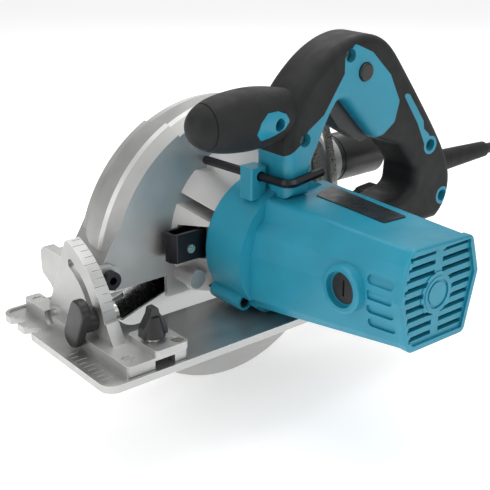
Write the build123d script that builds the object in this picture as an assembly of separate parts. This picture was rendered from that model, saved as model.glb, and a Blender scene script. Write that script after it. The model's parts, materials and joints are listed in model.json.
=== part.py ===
from build123d import *
import math
import os

# Circular saw, 190 mm blade.  Millimetres.
# +X is the cutting direction, +Y points to the motor end, +Z is up.
# The origin is the centre of the sole, on the face that rests on the work.
# The rest pose is the deepest cut (66 mm) with the bevel at zero.

# ---------------------------------------------------------------- driving dimensions
BASE_LENGTH = 297.0
BASE_WIDTH = 136.0
BASE_THICK = 3.5
RIM = 1.3

BLADE_R = 95.0
BLADE_BORE_R = 15.0
BLADE_THICK = 1.8
BLADE_Y = -30.0
TEETH = 24

SPINDLE_X, SPINDLE_Z = -9.0, 29.0
GEAR_TEETH, PINION_TEETH, GEAR_MODULE = 39, 10, 1.0
GEAR_CENTRES = GEAR_MODULE * (GEAR_TEETH + PINION_TEETH) / 2
MOTOR_X = -20.0
MOTOR_Z = SPINDLE_Z + math.sqrt(GEAR_CENTRES**2 - (SPINDLE_X - MOTOR_X)**2)

CASE_R = 104.8
CASE_WALL = 3.0
CASE_OUT_Y, CASE_IN_Y = -50.0, -10.0
GUARD_R = 100.0
GUARD_WALL = 1.8
GUARD_OUT_Y, GUARD_IN_Y = -45.0, -15.5
NOSE_R = 17.0

PIVOT_X, PIVOT_Z = 100.0, 36.0
BEVEL_Y, BEVEL_Z = -30.0, 9.5
SLOT_R = 47.0
QUAD_R = 60.0
QUAD_X0, QUAD_X1 = 121.0, 125.0
CLAMP_ANGLE = 17.0

GUIDE_R = 195.0
GUIDE_ANGLE = 2.6
DEPTH_SWING = 30.0
GUIDE_X = PIVOT_X - GUIDE_R * math.cos(math.radians(GUIDE_ANGLE))
GUIDE_Z = PIVOT_Z + GUIDE_R * math.sin(math.radians(GUIDE_ANGLE))

FLANGE_X, FLANGE_Z, FLANGE_R = -12.0, 45.0, 47.0
FLANGE_Y0, FLANGE_Y1 = 10.0, 48.0
MOTOR_END_Y = 165.0
HOUSING_WALL = 3.0
BRUSH_Y = 124.0

HANDLE_Y = 43.0
HANDLE_HALF = 17.0

CORD_R = 4.0
FLOOR_Z = SPINDLE_Z - GUARD_R
COIL_MID_R = 45.0
COIL_WIDE, COIL_HIGH = 17.0, 33.0
COIL_X, COIL_Y = -355.0, 114.0

os.makedirs("parts", exist_ok=True)
nodes = {}


# ---------------------------------------------------------------- drawing helpers
def slab_x(sketch, x0, x1):
    """A sketch in (y, z), made solid from x0 to x1."""
    plane = Plane((x0, 0, 0), x_dir=(0, 1, 0), z_dir=(1, 0, 0))
    return extrude(plane * sketch, amount=x1 - x0)


def slab_y(sketch, y0, y1):
    """A sketch in (x, z), made solid from y0 to y1."""
    plane = Plane((0, y1, 0), x_dir=(1, 0, 0), z_dir=(0, -1, 0))
    return extrude(plane * sketch, amount=y1 - y0)


def slab_z(sketch, z0, z1):
    """A sketch in (x, y), made solid from z0 to z1."""
    return extrude(Plane.XY.offset(z0) * sketch, amount=z1 - z0)


def disc(u, v, radius):
    return Pos(u, v) * Circle(radius)


def ring(u, v, outer, inner):
    return disc(u, v, outer) - disc(u, v, inner)


def outline(points, radius=0.0):
    """A closed polygon, with its corners rounded."""
    face = make_face(Polyline(*points, close=True))
    return fillet(face.vertices(), radius) if radius else face


def pad(u, v, width, height, radius):
    """A rectangle with rounded corners."""
    return Pos(u, v) * RectangleRounded(width, height, radius)


def polar(u, v, radius, degrees):
    angle = math.radians(degrees)
    return (u + radius * math.cos(angle), v + radius * math.sin(angle))


def wedge(u, v, reach, start, end):
    """A pie slice from one angle to another, wider than any disc of half its reach."""
    steps = max(2, math.ceil((end - start) / 30))
    rim = [polar(u, v, reach, start + (end - start) * i / steps) for i in range(steps + 1)]
    return outline([(u, v)] + rim)


def arc_slot(u, v, radius, width, start, end):
    """A slot bent along an arc, with round ends."""
    band = ring(u, v, radius + width / 2, radius - width / 2) & wedge(u, v, 2 * radius, start, end)
    for degrees in (start, end):
        band += disc(*polar(u, v, radius, degrees), width / 2)
    return band


def bar(u0, v0, u1, v1, width):
    """A round-ended bar between two points."""
    length = math.hypot(u1 - u0, v1 - v0)
    turn = math.degrees(math.atan2(v1 - v0, u1 - u0))
    middle = Pos((u0 + u1) / 2, (v0 + v1) / 2) * Rot(0, 0, turn)
    return middle * SlotCenterToCenter(length, width)


def hexagon(u, v, across_flats):
    return Pos(u, v) * RegularPolygon(across_flats / 2, 6, major_radius=False)


def box(x0, x1, y0, y1, z0, z1):
    return Pos((x0 + x1) / 2, (y0 + y1) / 2, (z0 + z1) / 2) * Box(x1 - x0, y1 - y0, z1 - z0)


def gear(u, v, teeth, addendum, dedendum, first_tooth):
    """An involute gear, with one tooth centred on the angle first_tooth."""
    pressure, backlash = math.radians(20), 0.12
    pitch = GEAR_MODULE * teeth / 2
    base, tip, root = pitch * math.cos(pressure), pitch + addendum, pitch - dedendum

    def involute(radius):
        angle = math.acos(min(1.0, base / radius))
        return math.tan(angle) - angle

    half_pitch = (math.pi * GEAR_MODULE / 2 - backlash) / 2 / pitch + involute(pitch)
    start = max(base, root)
    flank = [(root, half_pitch)]
    flank += [(r, half_pitch - involute(r)) for r in (start + 0.01 + (tip - start) * i / 4 for i in range(5))]
    points = []
    for tooth in range(teeth):
        middle = math.radians(first_tooth) + 2 * math.pi * tooth / teeth
        for radius, half in flank:
            points.append(polar(u, v, radius, math.degrees(middle - half)))
        for radius, half in reversed(flank):
            points.append(polar(u, v, radius, math.degrees(middle + half)))
    return outline(points)


def box_sketch(u0, u1, v0, v1):
    return Pos((u0 + u1) / 2, (v0 + v1) / 2) * Rectangle(u1 - u0, v1 - v0)


def cross_recess(u, v, reach):
    """The cross in a screw's head, its arms 1 mm wide and as long as the reach each way."""
    level = box_sketch(u - reach, u + reach, v - 0.5, v + 0.5)
    upright = box_sketch(u - 0.5, u + 0.5, v - reach, v + reach)
    return level + upright


def keep(name, shape):
    nodes[name] = shape


# ---------------------------------------------------------------- sole and its brackets
SLOT_X0, SLOT_X1, SLOT_Y0, SLOT_Y1 = -112.0, 93.0, -48.5, 4.0
FENCE_X0, FENCE_X1, FENCE_Z1 = 99.0, 113.4, 10.2
FENCE_SCREW_X, FENCE_SCREW_Y = 105.0, 51.0


def base_plate():
    half_l = BASE_LENGTH / 2
    plan = pad(0, 0, BASE_LENGTH, BASE_WIDTH, 9.0)
    plate = slab_z(plan, 0, BASE_THICK)
    rim = slab_z(plan - offset(plan, amount=-2.4), BASE_THICK, BASE_THICK + RIM)
    slot = pad((SLOT_X0 + SLOT_X1) / 2, (SLOT_Y0 + SLOT_Y1) / 2, SLOT_X1 - SLOT_X0, SLOT_Y1 - SLOT_Y0, 6.0)
    plate = plate + rim - slab_z(slot, -1, BASE_THICK + 1)
    sight = outline([(half_l + 1, -5.5), (half_l - 9, -1.5), (half_l - 9, 1.5), (half_l + 1, 5.5)])
    for y in (BEVEL_Y, BEVEL_Y - 19.0):
        plate -= slab_z(Pos(0, y) * sight, -1, BASE_THICK + RIM + 1)
    for x, y in RIVET_PLACES:
        plate -= slab_z(disc(x, y, 2.6), -1, BASE_THICK + 1)
    for tick in range(9):
        length = 7.0 if tick % 2 == 0 else 4.5
        mark = bar(half_l - 4.5 - length, 14.0 + 5.0 * tick, half_l - 4.5, 14.0 + 5.0 * tick, 0.7)
        plate -= slab_z(mark, BASE_THICK - 0.3, BASE_THICK + 1)
    return plate


RIVET_PLACES = [(126.0, -55.0), (126.0, 55.0), (93.5, 60.0), (-134.0, -46.0), (-134.0, -14.0)]
FOOT_TOP = 12.0
TICKS = 14
BLOCK_TOP = 16.5


def front_bracket():
    """The bevel quadrant: an upright sector with a rim, on a foot that also guides the fence bar."""
    foot = outline([(132.5, -64), (132.5, 65), (89, 65), (89, 34), (112, 34), (QUAD_X0, 25),
                    (QUAD_X0, -64)], 2.5)
    body = slab_z(foot, BASE_THICK, FOOT_TOP)
    block = pad(101.0, 50, 24, 32, 2.5)
    body += slab_z(block, FOOT_TOP, BLOCK_TOP)
    body -= box(FENCE_X0, FENCE_X1, -70, 70, BASE_THICK + 0.5, FENCE_Z1)
    sector = outline([(-42, FOOT_TOP - 4), (-42, 13), (-36, 24), polar(BEVEL_Y, BEVEL_Z, QUAD_R - 1.5, 75),
                      polar(BEVEL_Y, BEVEL_Z, QUAD_R, 60), polar(BEVEL_Y, BEVEL_Z, QUAD_R + 3, 40),
                      polar(BEVEL_Y, BEVEL_Z, QUAD_R + 3, 18), polar(BEVEL_Y, BEVEL_Z, QUAD_R, 0),
                      (36, FOOT_TOP - 4)])
    sector &= disc(BEVEL_Y, BEVEL_Z, QUAD_R) + Pos(BEVEL_Y, BEVEL_Z - 20) * Rectangle(2 * QUAD_R, 42)
    body += slab_x(sector, QUAD_X0, QUAD_X1)
    rim = ring(BEVEL_Y, BEVEL_Z, QUAD_R, QUAD_R - 3.2) & wedge(BEVEL_Y, BEVEL_Z, 150, 2, 73)
    body += slab_x(rim, QUAD_X1 - 9.0, QUAD_X1)
    body += slab_x(disc(BEVEL_Y, BEVEL_Z, 6.0), QUAD_X0, QUAD_X1 + 2.5)
    for tick in range(TICKS):
        turn = 6.0 + 5.0 * tick
        reach = QUAD_X1 if tick % 3 == 0 else QUAD_X1 - 3.0
        inner_end = polar(BEVEL_Y, BEVEL_Z, QUAD_R - 0.4, turn)
        outer_end = polar(BEVEL_Y, BEVEL_Z, QUAD_R + 1, turn)
        body -= slab_x(bar(*inner_end, *outer_end, 0.5), QUAD_X1 - 9.5, reach + 0.1)
    flare = outline([(26.5, FOOT_TOP - 1), (38.0, FOOT_TOP - 1), (30.0, 24.0), (26.5, 24.0)])
    body += slab_x(flare, QUAD_X1 - 9.0, QUAD_X1)
    body -= slab_x(arc_slot(BEVEL_Y, BEVEL_Z, SLOT_R, 6.8, CLAMP_ANGLE - 2, CLAMP_ANGLE + 47), 110, 130)
    body -= slab_x(disc(BEVEL_Y, BEVEL_Z, 3.0), 110, 135)
    body -= slab_x(disc(BEVEL_Y, BEVEL_Z, 9.5), 105, QUAD_X0)
    body -= slab_x(disc(BEVEL_Y, BEVEL_Z, 5.8), QUAD_X1 + 2.5, 140)
    body -= slab_z(disc(FENCE_SCREW_X, FENCE_SCREW_Y, 3.05), FENCE_Z1 - 1, BLOCK_TOP + 1)
    for x, y in RIVET_PLACES[:3]:
        body -= slab_z(disc(x, y, 2.6), 0, 20)
        body -= slab_z(disc(x, y, 4.2), (FOOT_TOP if x > 100 else BLOCK_TOP) - 2.5, 20)
    return body


def rear_bracket():
    """The angle plate that carries the rear bevel pin."""
    foot = pad(-134, -30, 18, 50, 3.0)
    body = slab_z(foot, BASE_THICK, BASE_THICK + 3)
    upright = outline([(-48, BASE_THICK), (-48, 9), (-38, 19), (-22, 19), (-12, 9), (-12, BASE_THICK)], 2.0)
    body += slab_x(upright, -128.0, -124.2)
    body -= slab_x(disc(BEVEL_Y, BEVEL_Z, 3.0), -130, -120)
    body -= slab_x(disc(BEVEL_Y, BEVEL_Z, 5.4), -145, -128)
    for x, y in RIVET_PLACES[3:]:
        body -= slab_z(disc(x, y, 2.6), 0, 10)
    return body


def bracket_rivets():
    rivets = []
    for x, y in RIVET_PLACES:
        head_z = {126.0: FOOT_TOP - 2.5, 93.5: BLOCK_TOP - 2.5}.get(x, BASE_THICK + 3)
        shank = slab_z(disc(x, y, 2.6), 0.4, head_z)
        rivets.append(shank + slab_z(disc(x, y, 4.1), head_z, head_z + 2.0))
    return Compound(rivets)


def bevel_pins():
    front = slab_x(disc(BEVEL_Y, BEVEL_Z, 3.0), 112.0, QUAD_X1 + 4)
    front += slab_x(disc(BEVEL_Y, BEVEL_Z, 4.6), QUAD_X1 + 2.5, QUAD_X1 + 4.5)
    rear = slab_x(disc(BEVEL_Y, BEVEL_Z, 3.0), -130.0, -119.5)
    rear += slab_x(disc(BEVEL_Y, BEVEL_Z, 4.6), -130.0, -128.0)
    return Compound([front, rear])


def fence_screw():
    """A wing screw that presses on the fence bar: black ribbed head on a steel thread."""
    x, y = FENCE_SCREW_X, FENCE_SCREW_Y
    top = BLOCK_TOP + 3.0
    stem = slab_z(disc(x, y, 3.0), FENCE_Z1, top) + slab_z(disc(x, y, 4.6), BLOCK_TOP + 0.4, top)
    wings = outline([(-9, 0), (9, 0), (8.4, 7), (3.2, 15), (2.2, 19), (-2.2, 19), (-3.2, 15), (-8.4, 7)], 1.2)
    head = Pos(x, y, top) * extrude(Plane.XZ.offset(-3) * wings, amount=6)
    head += Pos(x, y, top) * Cone(7.6, 4.6, 13, align=(Align.CENTER, Align.CENTER, Align.MIN))
    return Compound([stem]), Compound([head])


keep("base_plate", base_plate())
keep("front_bracket", front_bracket())
keep("rear_bracket", rear_bracket())
keep("bracket_rivets", bracket_rivets())
keep("bevel_pivot_pins", bevel_pins())
stem, head = fence_screw()
keep("fence_screw_stem", stem)
keep("fence_screw_wing", head)


# ---------------------------------------------------------------- tilting frame
HANGER_X0, HANGER_X1 = 113.0, 120.6
EAR_GAP = 0.4
CLAMP_Y, CLAMP_Z = polar(BEVEL_Y, BEVEL_Z, SLOT_R, CLAMP_ANGLE)
GUIDE_Y0, GUIDE_Y1 = -9.0, -6.0
WING_X0 = QUAD_X1 + 0.5


def tilt_hanger():
    """The plate behind the quadrant: it turns on the front bevel pin and holds the depth pivot."""
    web = outline([(-58, 30), (-58, 45), (-54, 49), (-10, 49), (-4, 42), (2, 30), (2, 10), (-22, 10),
                   (-36, 9), (-46, 24)], 3.0)
    web += disc(BEVEL_Y, BEVEL_Z, 8.5 - 3.3) + bar(-6, 18, CLAMP_Y, CLAMP_Z, 16)
    body = slab_x(web, HANGER_X0, HANGER_X1)
    ear = outline([(PIVOT_X - 6, 30), (HANGER_X0, 30), (HANGER_X0, 45), (PIVOT_X - 2, 45),
                   (PIVOT_X - 8, 41), (PIVOT_X - 8, 33)], 1.0)
    body += slab_y(ear, CASE_OUT_Y - EAR_GAP - 4.0, CASE_OUT_Y - EAR_GAP)
    body += slab_y(ear, CASE_IN_Y + EAR_GAP, CASE_IN_Y + EAR_GAP + 4.0)
    body -= slab_x(disc(BEVEL_Y, BEVEL_Z, 3.05), 100, 125)
    body -= slab_x(disc(CLAMP_Y, CLAMP_Z, 3.0), 100, 125)
    body -= slab_y(disc(PIVOT_X, PIVOT_Z, 4.0), -60, 0)
    return body


def clamp_bolt():
    bolt = slab_x(disc(CLAMP_Y, CLAMP_Z, 3.0), HANGER_X0, WING_X0 + 9.0)
    bolt += slab_x(disc(CLAMP_Y, CLAMP_Z, 6.5), HANGER_X0 - 3.0, HANGER_X0)
    return bolt


def depth_pivot_pin():
    pin = slab_y(disc(PIVOT_X, PIVOT_Z, 4.0), CASE_OUT_Y - EAR_GAP - 6.0, CASE_IN_Y + EAR_GAP + 4.0)
    near = CASE_IN_Y + EAR_GAP + 4.0
    pin += slab_y(disc(PIVOT_X, PIVOT_Z, 6.0) - hexagon(PIVOT_X, PIVOT_Z, 5.0), near, near + 5.0)
    far = CASE_OUT_Y - EAR_GAP - 4.0
    pin += slab_y(disc(PIVOT_X, PIVOT_Z, 6.0), far - 2.0, far)
    return pin


def bevel_stop_screw():
    """A grub screw with a lock nut, through the hanger, that meets the sole at zero bevel."""
    y, z = -1.5, 14.5
    x = HANGER_X0
    screw = slab_x(disc(y, z, 2.5), x - 9.0, x)
    return screw + slab_x(hexagon(y, z, 8.0), x - 5.0, x) + slab_x(disc(y, z, 4.2), x - 11.5, x - 9.0)


def depth_guide():
    """The slotted arc beside the blade case, bent at its foot to turn on the rear bevel pin."""
    end = GUIDE_ANGLE + DEPTH_SWING
    arc = ring(PIVOT_X, PIVOT_Z, GUIDE_R + 10, GUIDE_R - 10)
    arc &= wedge(PIVOT_X, PIVOT_Z, 2.5 * GUIDE_R, 180 - end - 2.0, 182)
    plate = arc + outline([(-123.0, 5.0), (-104, 5.0), (-92, 20.0), (-85, 30.0), (-86, 36), (-106, 36),
                           (-113, 26), (-123.0, 22.0)])
    plate = slab_y(plate, GUIDE_Y0, GUIDE_Y1)
    slot = arc_slot(PIVOT_X, PIVOT_Z, GUIDE_R, 8.8, 180 - end, 180 - GUIDE_ANGLE)
    plate -= slab_y(slot, GUIDE_Y0 - 1, GUIDE_Y1 + 1)
    flange = outline([(-6, 5.4), (-6, 22), (-14, 22), (-36, 16), (-37, 11),
                      (-32, 4.4), (-28, 4.4), (-20, 5.4)])
    plate += slab_x(flange, -123.6, -120.6)
    return plate - slab_x(disc(BEVEL_Y, BEVEL_Z, 3.05), -125, -118)


def bevel_wing():
    """The bevel clamp knob: a round hub with a flat two-lobed wing across its end."""
    hub = slab_x(disc(CLAMP_Y, CLAMP_Z, 7.6), WING_X0, WING_X0 + 10)
    lean = 64.0
    (y0, z0), (y1, z1) = polar(CLAMP_Y, CLAMP_Z, 10.5, lean), polar(CLAMP_Y, CLAMP_Z, 10.5, lean + 180)
    wing = slab_x(bar(y0, z0, y1, z1, 16), WING_X0 + 7.5, WING_X0 + 14)
    body = hub + fillet(wing.edges(), 1.6)
    return body - slab_x(disc(CLAMP_Y, CLAMP_Z, 3.05), WING_X0 - 1, WING_X0 + 9.3)


keep("tilt_hanger", tilt_hanger())
keep("bevel_clamp_bolt", clamp_bolt())
keep("depth_pivot_pin", depth_pivot_pin())
keep("bevel_stop_screw", bevel_stop_screw())
keep("depth_guide", depth_guide())
keep("bevel_wing_knob", bevel_wing())


# ---------------------------------------------------------------- blade case
RETAINER_R = 27.0
BOSS_R = 8.0
NOZZLE_Y, NOZZLE_Z, NOZZLE_R = -30.0, 71.0, 18.5
NOZZLE_X0, NOZZLE_NECK_X, NOZZLE_X1 = -160.0, -118.0, -90.0
NOZZLE_WALL, NOZZLE_NECK_R = 2.5, 18.0
RIM_LOW_Z = 24.0


MOTOR_SCREWS = [(25.0, 14.5), (-48.0, 14.5), (-46.0, 74.0)]
CASE_SCREWS = [(-52.0, 30.0), (-40.0, 78.0), (14.0, 82.0)]


def window_sketch():
    """The open corner of the motor-side wall, in front of the spindle, where the blade shows."""
    return outline([(52, -20), (52, 32), (58, 42), (66, 45.5), (112, 36), (112, -20)])


CASE_STEP = 1.6


def case_turned(grow):
    """The case's outside as a turned solid: it flares towards the motor side and has a broad bevel there."""
    r = CASE_R + grow
    profile = [(0, CASE_OUT_Y), (r - 2.2, CASE_OUT_Y), (r, CASE_OUT_Y + 2.2), (r, CASE_OUT_Y + 8.0),
               (r + 1.0, CASE_OUT_Y + 8.8), (r + 4.6, CASE_IN_Y - 9.5), (r + 3.2, CASE_IN_Y - 6.5),
               (r - 3.0, CASE_IN_Y), (0, CASE_IN_Y)]
    face = Plane.XY * make_face(Polyline(*profile, close=True))
    return Pos(SPINDLE_X, 0, SPINDLE_Z) * revolve(face, axis=Axis.Y)


def blade_case():
    x, z = SPINDLE_X, SPINDLE_Z
    body = case_turned(0) & box(-200, 200, -60, 0, RIM_LOW_Z, 200)
    body += case_turned(CASE_STEP) & slab_y(wedge(x, z, 260, 12, 62), -60, 0)
    side = disc(x, z, CASE_R - 3) & Pos(x, 208) * Rectangle(400, 400)
    body += slab_y(side - window_sketch(), CASE_IN_Y - CASE_WALL - 0.5, CASE_IN_Y)
    body += slab_y(disc(PIVOT_X, PIVOT_Z, BOSS_R) + bar(PIVOT_X, PIVOT_Z, 84, 62, 12), CASE_OUT_Y, CASE_IN_Y)
    cavity = disc(x, z, CASE_R - CASE_WALL)
    body -= slab_y(cavity, CASE_OUT_Y + CASE_WALL, CASE_IN_Y - CASE_WALL - 0.5)
    body -= slab_y(disc(x, z, 66.0), CASE_OUT_Y - 1, CASE_OUT_Y + CASE_WALL + 1)
    body -= slab_y(disc(x, z, RETAINER_R), CASE_IN_Y - 10, CASE_IN_Y + 1)
    body -= slab_x(disc(NOZZLE_Y, NOZZLE_Z, NOZZLE_R - NOZZLE_WALL), -130, -60)
    socket = slab_x(ring(NOZZLE_Y, NOZZLE_Z, NOZZLE_R + 1.2, NOZZLE_NECK_R), NOZZLE_NECK_X + 6, NOZZLE_X1)
    body += socket - slab_y(cavity, -60, 0)
    body -= slab_y(disc(PIVOT_X, PIVOT_Z, 4.05), -60, 0)
    body -= slab_y(disc(GUIDE_X, GUIDE_Z, 4.0), -20, 0)
    body -= slab_y(disc(GUIDE_X, GUIDE_Z, 8.0), -20, CASE_IN_Y - 1.5)
    for u, v in CASE_SCREWS:
        body -= slab_y(disc(u, v, 2.0), -20, 0) + slab_y(disc(u, v, 3.6), -20, CASE_IN_Y - 2.0)
    return body


def dust_nozzle():
    """The round spigot for a vacuum hose, with a neck that sits in the socket of the case."""
    tube = slab_x(ring(NOZZLE_Y, NOZZLE_Z, NOZZLE_R, NOZZLE_R - NOZZLE_WALL), NOZZLE_X0, NOZZLE_NECK_X)
    tube += slab_x(ring(NOZZLE_Y, NOZZLE_Z, NOZZLE_NECK_R, NOZZLE_R - NOZZLE_WALL), NOZZLE_NECK_X, NOZZLE_X1)
    return tube - case_turned(0)


keep("blade_case", blade_case())
keep("dust_nozzle", dust_nozzle())


# ---------------------------------------------------------------- lower guard
FRONT_EDGE, REAR_EDGE = -18.0, -197.0
GUARD_SWING = 150.0
LEVER_R, LEVER_ANGLE = 56.0, 167.0


def lower_guard():
    """A rim with two webs over the lower half of the blade; the inner web has the hub."""
    x, z = SPINDLE_X, SPINDLE_Z
    sector = wedge(x, z, 260, REAR_EDGE, FRONT_EDGE)
    rim = slab_y(ring(x, z, GUARD_R, GUARD_R - GUARD_WALL) & sector, GUARD_OUT_Y, GUARD_IN_Y)
    web = ring(x, z, GUARD_R, NOSE_R + 3) & sector
    inner = slab_y(web, GUARD_IN_Y - GUARD_WALL, GUARD_IN_Y)
    hub = slab_y(ring(x, z, NOSE_R + 5, NOSE_R + 0.06), -18.2, GUARD_IN_Y + 1.2)
    outer = slab_y(ring(x, z, GUARD_R, 45) & sector, GUARD_OUT_Y, GUARD_OUT_Y + GUARD_WALL)
    return rim + inner + hub + outer


def guard_lever():
    """The thumb lever on the guard's outer web, reached through the mouth of the blade case."""
    x, z = polar(SPINDLE_X, SPINDLE_Z, LEVER_R, LEVER_ANGLE)
    foot = pad(x, z, 14, 12, 3)
    knob = slab_y(foot, CASE_OUT_Y - 14.0, GUARD_OUT_Y)
    return fillet(knob.faces().sort_by(Axis.Y)[0].edges(), 2.0)


keep("lower_guard", lower_guard())
keep("guard_lever", guard_lever())


# ---------------------------------------------------------------- blade and spindle
def saw_blade():
    """A steel disc with gullets, four expansion slots and an arbor hole."""
    x, z = SPINDLE_X, SPINDLE_Z
    plate = ring(x, z, BLADE_R - 1.0, BLADE_BORE_R)
    for tooth in range(TEETH):
        angle = 360 / TEETH * tooth
        gullet = outline([polar(x, z, BLADE_R + 3, angle), polar(x, z, BLADE_R - 9, angle + 0.6),
                          polar(x, z, BLADE_R - 9.5, angle + 4.0), polar(x, z, BLADE_R - 4, angle + 8.5),
                          polar(x, z, BLADE_R + 3, angle + 10.5)])
        plate -= gullet
    for quarter in range(4):
        angle = 28 + 90 * quarter
        plate -= disc(*polar(x, z, 71.5, angle), 2.4)
        (u0, v0), (u1, v1) = polar(x, z, 71.5, angle), polar(x, z, BLADE_R - 7, angle - 1.5)
        plate -= bar(u0, v0, u1, v1, 1.0)
    return slab_y(plate, BLADE_Y - BLADE_THICK / 2, BLADE_Y + BLADE_THICK / 2)


def carbide_tips():
    """The brazed cutting tips, a little wider than the plate."""
    tips = []
    for tooth in range(TEETH):
        angle = 360 / TEETH * tooth
        tip = outline([polar(SPINDLE_X, SPINDLE_Z, BLADE_R, angle + 0.2),
                       polar(SPINDLE_X, SPINDLE_Z, BLADE_R - 7.0, angle + 0.75),
                       polar(SPINDLE_X, SPINDLE_Z, BLADE_R - 7.0, angle + 2.2),
                       polar(SPINDLE_X, SPINDLE_Z, BLADE_R - 0.3, angle + 1.5)])
        tips.append(slab_y(tip, BLADE_Y - 1.2, BLADE_Y + 1.2))
    return Compound(tips)


BLADE_Y0, BLADE_Y1 = BLADE_Y - BLADE_THICK / 2, BLADE_Y + BLADE_THICK / 2


def blade_flanges():
    x, z = SPINDLE_X, SPINDLE_Z
    inner = slab_y(ring(x, z, 20.0, 8.0), BLADE_Y1, -25.0)
    inner += slab_y(ring(x, z, BLADE_BORE_R, 8.0), BLADE_Y0, BLADE_Y1)
    outer = slab_y(ring(x, z, 20.0, 4.05), BLADE_Y0 - 4.0, BLADE_Y0)
    return inner, fillet(outer.faces().sort_by(Axis.Y)[0].outer_wire().edges(), 1.5)


def blade_bolt():
    x, z, seat = SPINDLE_X, SPINDLE_Z, BLADE_Y0 - 4.0
    head = slab_y(disc(x, z, 8.5), seat - 1.2, seat) + slab_y(hexagon(x, z, 13.0), seat - 7.0, seat - 1.2)
    head -= slab_y(hexagon(x, z, 5.0), seat - 8.0, seat - 3.5)
    return head + slab_y(disc(x, z, 4.0), seat, -14.0)


def spindle():
    x, z = SPINDLE_X, SPINDLE_Z
    shaft = slab_y(disc(x, z, 8.0), BLADE_Y0, -21.0) + slab_y(disc(x, z, 6.0), -21.0, 6.5)
    shaft += slab_y(disc(x, z, 5.0), 6.5, 16.0)
    return shaft - slab_y(disc(x, z, 4.0), -40, -14.0)


MESH_ANGLE = math.degrees(math.atan2(MOTOR_Z - SPINDLE_Z, MOTOR_X - SPINDLE_X))


def spindle_gear():
    sketch = gear(SPINDLE_X, SPINDLE_Z, GEAR_TEETH, 0.6, 1.25, MESH_ANGLE) - disc(SPINDLE_X, SPINDLE_Z, 6.0)
    for spoke in range(6):
        sketch -= disc(*polar(SPINDLE_X, SPINDLE_Z, 12.0, 60 * spoke), 2.6)
    return slab_y(sketch, -5.0, 5.0)


inner_flange, outer_flange = blade_flanges()
keep("saw_blade", saw_blade())
keep("carbide_tips", carbide_tips())
keep("blade_flanges", Compound([inner_flange, outer_flange]))
keep("blade_bolt", blade_bolt())
keep("spindle", spindle())
keep("spindle_gear", spindle_gear())


# ---------------------------------------------------------------- armature
def armature_shaft():
    """Shaft with the pinion cut on its front end."""
    x, z = MOTOR_X, MOTOR_Z
    half_pitch = 180 / PINION_TEETH
    pinion = gear(x, z, PINION_TEETH, 1.0, 1.0, MESH_ANGLE + 180 + half_pitch)
    shaft = slab_y(pinion, -5.5, 6.5) + slab_y(disc(x, z, 6.0), 6.5, 22.0)
    return shaft + slab_y(disc(x, z, 7.0), 22.0, 144.0) + slab_y(disc(x, z, 4.0), 144.0, 152.5)


def armature_core():
    x, z = MOTOR_X, MOTOR_Z
    stack = ring(x, z, 21.0, 7.0)
    for slot in range(12):
        stack -= bar(*polar(x, z, 14.0, 30 * slot), *polar(x, z, 20.0, 30 * slot), 3.2)
        stack -= bar(*polar(x, z, 19.0, 30 * slot), *polar(x, z, 22.0, 30 * slot), 1.4)
    return slab_y(stack, 48.0, 92.0)


def armature_windings():
    x, z = MOTOR_X, MOTOR_Z
    front = slab_y(ring(x, z, 19.5, 7.0), 41.0, 48.0)
    rear = slab_y(ring(x, z, 19.5, 7.0), 92.0, 103.0)
    return Compound([fillet(front.faces().sort_by(Axis.Y)[0].edges(), 2.5),
                     fillet(rear.faces().sort_by(Axis.Y)[-1].edges(), 2.5)])


def commutator():
    x, z = MOTOR_X, MOTOR_Z
    drum = ring(x, z, 13.0, 7.0)
    for bar_no in range(24):
        drum -= bar(*polar(x, z, 12.2, 15 * bar_no), *polar(x, z, 13.4, 15 * bar_no), 0.5)
    return slab_y(drum, 112.0, 136.0)


def fan():
    x, z = MOTOR_X, MOTOR_Z
    wheel = slab_y(ring(x, z, 28.0, 7.0), 34.0, 36.0) + slab_y(ring(x, z, 11.0, 7.0), 24.0, 34.0)
    for blade in range(15):
        vane = bar(*polar(x, z, 14.0, 24 * blade), *polar(x, z, 27.0, 24 * blade + 14), 1.6)
        wheel += slab_y(vane, 25.0, 34.0)
    return wheel


keep("armature_shaft", armature_shaft())
keep("armature_core", armature_core())
keep("armature_windings", armature_windings())
keep("commutator", commutator())
keep("cooling_fan", fan())


# ---------------------------------------------------------------- gear housing and bearings
LOCK_X0, LOCK_X1, LOCK_Y0, LOCK_Y1, LOCK_Z0, LOCK_Z1 = 30.0, 58.0, -6.5, 7.0, 38.5, 58.5
BEARING_Y0, BEARING_Y1 = -20.5, -12.5


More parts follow.
